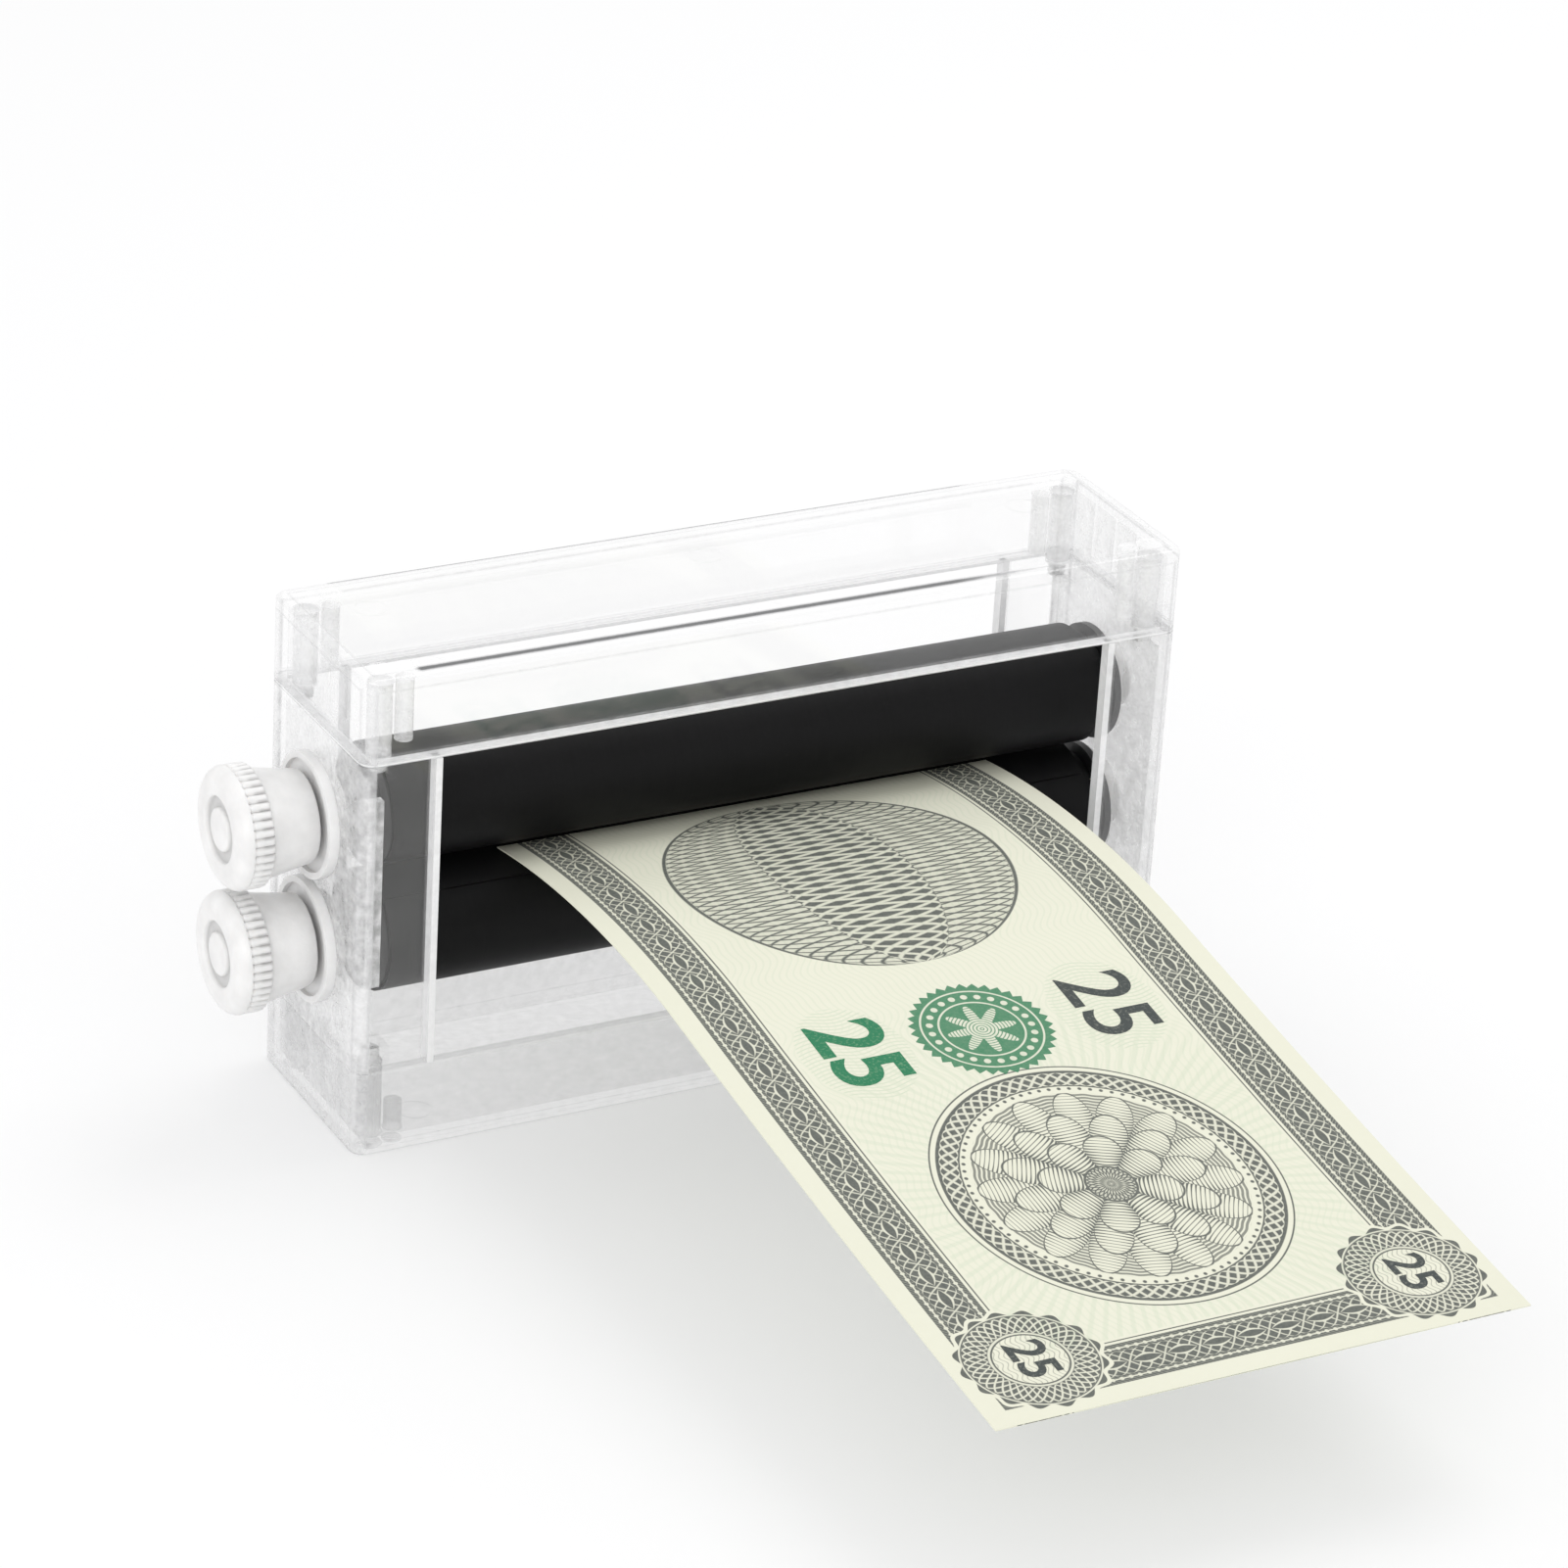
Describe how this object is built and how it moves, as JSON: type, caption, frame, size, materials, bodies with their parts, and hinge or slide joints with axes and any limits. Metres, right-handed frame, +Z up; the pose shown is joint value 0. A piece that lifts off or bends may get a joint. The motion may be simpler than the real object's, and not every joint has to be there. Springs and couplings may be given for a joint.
{
  "type": "money printing magic toy",
  "caption": "Clear box toy with two knob-turned rollers wound with one black sheet that feed out a curved paper note",
  "frame": {"origin": "centre of the base tray's flat underside, on the surface that the box stands on", "axes": "+X along the rollers away from the knobs, -Y the way the note comes out, +Z up"},
  "size_m": [0.12, 0.1373, 0.0615],
  "materials": {
    "clear_shell": "polished clear",
    "clear_frame": "polished clear",
    "milky_plastic": "satin translucent white",
    "black_core": "moulded",
    "black_sheet": "soft matt film",
    "tape": "adhesive tape",
    "note_paper": "printed cream paper"
  },
  "bodies": {
    "housing": {"base_tray": "clear_shell", "top_cover": "clear_shell", "left_frame": "clear_frame", "right_frame": "clear_frame", "left_bearing_bracket": "clear_frame", "upper_left_bush": "milky_plastic", "lower_left_bush": "milky_plastic", "upper_right_bearing_block": "milky_plastic", "lower_right_bearing_block": "milky_plastic", "sheet_strand": "black_sheet"},
    "upper_roller": {"upper_roller_tube": "black_core", "upper_drive_plug": "black_core", "upper_end_plug": "black_core", "upper_knob": "milky_plastic", "upper_sheet_winding": "black_sheet", "upper_sheet_tape": "tape"},
    "lower_roller": {"lower_roller_tube": "black_core", "lower_drive_plug": "black_core", "lower_end_plug": "black_core", "lower_knob": "milky_plastic", "lower_sheet_winding": "black_sheet", "lower_sheet_tape": "tape"},
    "note": {"play_note": "note_paper"}
  },
  "joints": [
    {"name": "upper_knob_turn", "type": "hinge", "parent": "housing", "child": "upper_roller", "pos_m": [0, 0, 0.03885], "axis": [-1, 0, 0], "range_deg": [0, 231.39]},
    {"name": "lower_knob_turn", "type": "hinge", "parent": "housing", "child": "lower_roller", "pos_m": [0, 0, 0.02265], "axis": [-1, 0, 0], "range_deg": [-231.39, 0]},
    {"name": "note_feed", "type": "slide", "parent": "housing", "child": "note", "axis": [0, -1, 0], "range_m": [0, 0.0315]}
  ],
  "couplings": [
    {"joint": "lower_knob_turn", "follows": "upper_knob_turn", "ratio": -1},
    {"joint": "note_feed", "follows": "upper_knob_turn", "m_per_rad": 0.0078}
  ]
}
